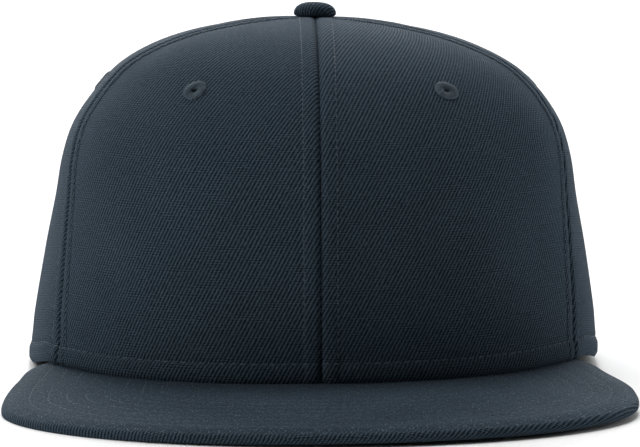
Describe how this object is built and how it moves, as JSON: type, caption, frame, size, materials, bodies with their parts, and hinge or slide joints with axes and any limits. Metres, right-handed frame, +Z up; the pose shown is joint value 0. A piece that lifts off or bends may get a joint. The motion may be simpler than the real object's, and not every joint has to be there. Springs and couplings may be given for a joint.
{
  "type": "snapback cap",
  "caption": "Stiff domed cap of twill panels with a flat rounded peak, covered button, stitched eyelets, inner sweatband and a snap strap across the back opening.",
  "frame": {"origin": "centre of the footprint, on the surface that the cap rests on", "axes": "+X to the right as seen from the front, -Y along the peak, +Z up"},
  "size_m": [0.1824, 0.2756, 0.1109],
  "materials": {
    "panel_twill": "matt navy twill over a stiffened crown",
    "peak_twill": "matt navy twill stretched over a flat board",
    "underside_cloth": "matt navy cloth",
    "band_cloth": "soft matt dark cloth",
    "eyelet_thread": "close radial stitching in navy thread",
    "strap_plastic": "moulded dark navy plastic, fine satin"
  },
  "bodies": {
    "root": {"front_panel_right": "panel_twill", "front_panel_left": "panel_twill", "side_panel_right": "panel_twill", "side_panel_left": "panel_twill", "back_panel_right": "panel_twill", "back_panel_left": "panel_twill", "top_button": "panel_twill", "peak_cover": "peak_twill", "peak_underside": "underside_cloth", "sweatband": "band_cloth", "eyelet_front_right": "eyelet_thread", "eyelet_front_left": "eyelet_thread", "eyelet_side_right": "eyelet_thread", "eyelet_side_left": "eyelet_thread", "eyelet_back_right": "eyelet_thread", "eyelet_back_left": "eyelet_thread", "snap_strap": "strap_plastic"}
  },
  "joints": []
}
